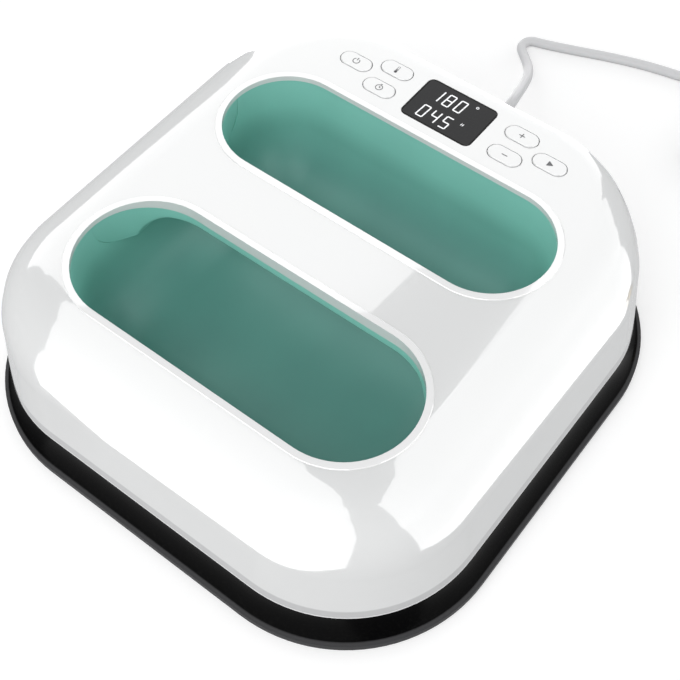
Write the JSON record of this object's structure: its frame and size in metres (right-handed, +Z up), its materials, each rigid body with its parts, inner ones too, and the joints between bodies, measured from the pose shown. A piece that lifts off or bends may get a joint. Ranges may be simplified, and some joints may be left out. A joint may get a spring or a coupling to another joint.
{
  "type": "handheld heat press",
  "caption": "Square hand-held heat press: heated plate under a white housing, two hand openings with a bar handle between them, push buttons, a display and a mains cord with its plug.",
  "frame": {"origin": "on the heated plate's working face, under the middle of the lower housing", "axes": "+Z up; +Y to the rear, where the cord leaves; +X to the user's right"},
  "size_m": [0.3386, 0.4647, 0.0942],
  "materials": {
    "white_shell": "glossy moulded ABS, white",
    "black_shell": "glossy heat-resistant moulded plastic, black",
    "teal_plastic": "smooth satin moulded plastic, teal",
    "white_button": "glossy white with a grey printed sign",
    "smoked_window": "smoked clear plastic",
    "display_body": "seven-segment display body",
    "circuit_board": "glass-epoxy board with green lacquer",
    "black_part": "black moulded component body",
    "blue_part": "blue moulded relay case",
    "yellow_part": "tape-wrapped winding",
    "steel": "zinc-plated steel",
    "element_sheath": "heat-tinted steel sheath",
    "cast_plate": "cast aluminium with a ground face and a low-friction coat",
    "sheet_aluminium": "pressed sheet",
    "glass_felt": "needled glass-fibre felt",
    "porcelain": "unglazed porcelain",
    "grey_nylon": "moulded nylon",
    "cord_jacket": "smooth light-grey flexible jacket",
    "relief_white": "soft moulded white sleeve",
    "plug_grey": "moulded light-grey plug",
    "plug_brass": "bare brass blades and pin",
    "tie_strap": "black hook-and-loop strap",
    "wire_sleeve": "black PVC sleeve",
    "silicone_sleeve": "white silicone and glass sleeve",
    "ribbon_grey": "grey flat ribbon"
  },
  "bodies": {
    "press": {"upper_housing": "white_shell", "base_housing": "black_shell", "grip_well": "teal_plastic", "handle_underside": "teal_plastic", "display_window": "smoked_window", "display_module": "display_body", "control_board": "circuit_board", "tact_switches": "black_part", "board_screws": "steel", "buzzer": "black_part", "housing_screws": "steel", "handle_screws": "steel", "well_screws": "steel", "heating_plate": "cast_plate", "heating_element": "element_sheath", "insulation_blanket": "glass_felt", "heat_shield": "sheet_aluminium", "plate_standoffs": "steel", "plate_screws": "steel", "temperature_sensor": "porcelain", "thermal_fuse": "steel", "power_board": "circuit_board", "power_board_screws": "steel", "heat_sink": "sheet_aluminium", "triac": "black_part", "relay": "blue_part", "transformer": "yellow_part", "terminal_block": "porcelain", "strain_relief": "relief_white", "inner_cord": "cord_jacket", "cord_clamp": "grey_nylon", "clamp_screws": "steel", "cord_lead": "cord_jacket", "cord_tail": "cord_jacket", "cord_coil": "cord_jacket", "cord_tie": "tie_strap", "plug_body": "plug_grey", "plug_pins": "plug_brass", "mains_wires": "wire_sleeve", "heater_leads": "silicone_sleeve", "sensor_lead": "silicone_sleeve", "board_ribbon": "ribbon_grey"},
    "power_button_cap": {"power_button": "white_button"},
    "temperature_button_cap": {"temperature_button": "white_button"},
    "timer_button_cap": {"timer_button": "white_button"},
    "plus_button_cap": {"plus_button": "white_button"},
    "minus_button_cap": {"minus_button": "white_button"},
    "start_button_cap": {"start_button": "white_button"}
  },
  "joints": [
    {"name": "power_button_press", "type": "slide", "parent": "press", "child": "power_button_cap", "axis": [0, 0, -1], "range_m": [0, 0.0005], "stiffness_N_per_m": 1500, "springref_m": -0.0003},
    {"name": "temperature_button_press", "type": "slide", "parent": "press", "child": "temperature_button_cap", "axis": [0, 0, -1], "range_m": [0, 0.0005], "stiffness_N_per_m": 1500, "springref_m": -0.0003},
    {"name": "timer_button_press", "type": "slide", "parent": "press", "child": "timer_button_cap", "axis": [0, 0, -1], "range_m": [0, 0.0005], "stiffness_N_per_m": 1500, "springref_m": -0.0003},
    {"name": "plus_button_press", "type": "slide", "parent": "press", "child": "plus_button_cap", "axis": [0, 0, -1], "range_m": [0, 0.0005], "stiffness_N_per_m": 1500, "springref_m": -0.0003},
    {"name": "minus_button_press", "type": "slide", "parent": "press", "child": "minus_button_cap", "axis": [0, 0, -1], "range_m": [0, 0.0005], "stiffness_N_per_m": 1500, "springref_m": -0.0003},
    {"name": "start_button_press", "type": "slide", "parent": "press", "child": "start_button_cap", "axis": [0, 0, -1], "range_m": [0, 0.0005], "stiffness_N_per_m": 1500, "springref_m": -0.0003}
  ]
}
